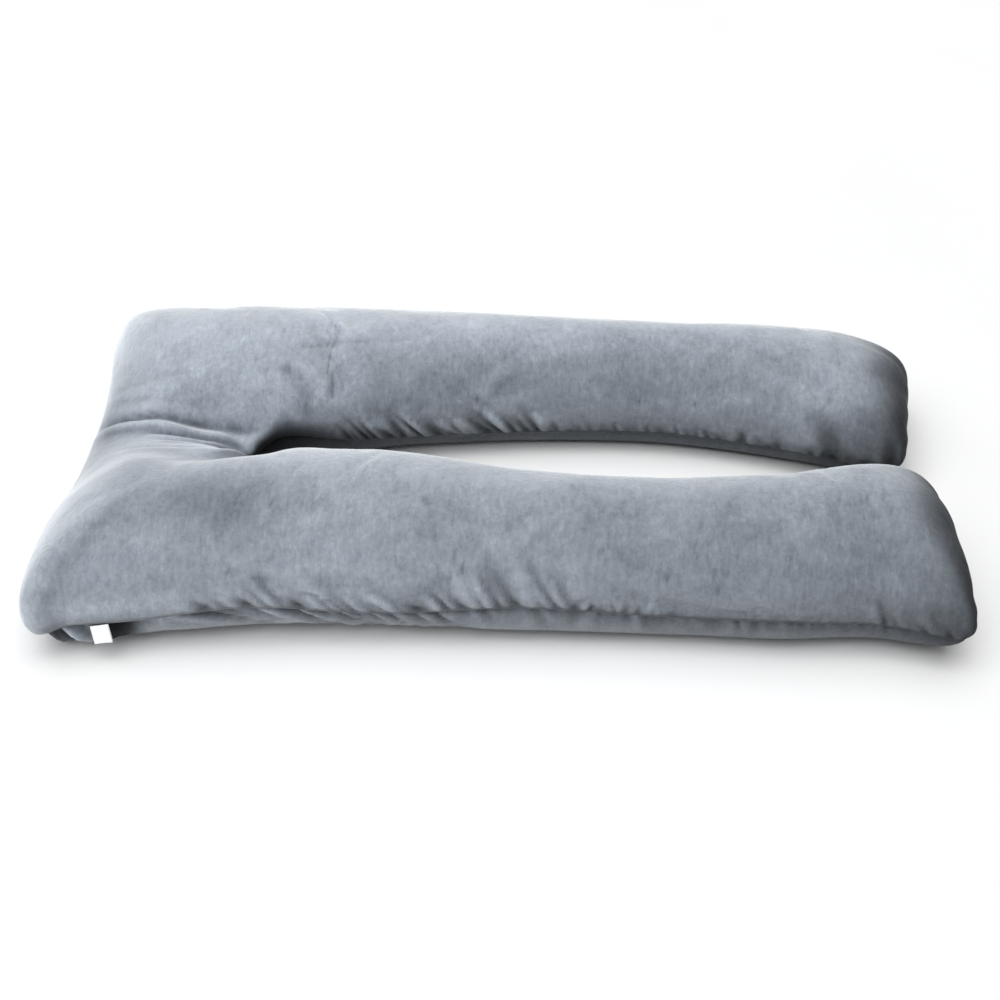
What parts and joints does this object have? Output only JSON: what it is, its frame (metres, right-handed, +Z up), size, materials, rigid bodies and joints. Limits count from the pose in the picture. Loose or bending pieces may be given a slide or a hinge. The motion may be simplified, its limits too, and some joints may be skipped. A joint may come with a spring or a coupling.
{
  "type": "u-shaped body pillow",
  "caption": "U-shaped body pillow with long rounded arms joined by a broad head, filled soft to support a sleeper who lies in the slot between the arms.",
  "frame": {"origin": "centre of the pillow's bounding box, on the surface it lies on", "axes": "+X along the arms towards the feet, +Y across to the slimmer arm, +Z up out of the surface"},
  "size_m": [1.2754, 0.7478, 0.201],
  "materials": {
    "pillow": "short-pile grey velvet with a slight blue cast, soft sheen where the pile turns",
    "care_label": "plain white satin tape, blank"
  },
  "bodies": {
    "root": {"pillow": "pillow", "care_label": "care_label"}
  },
  "joints": []
}
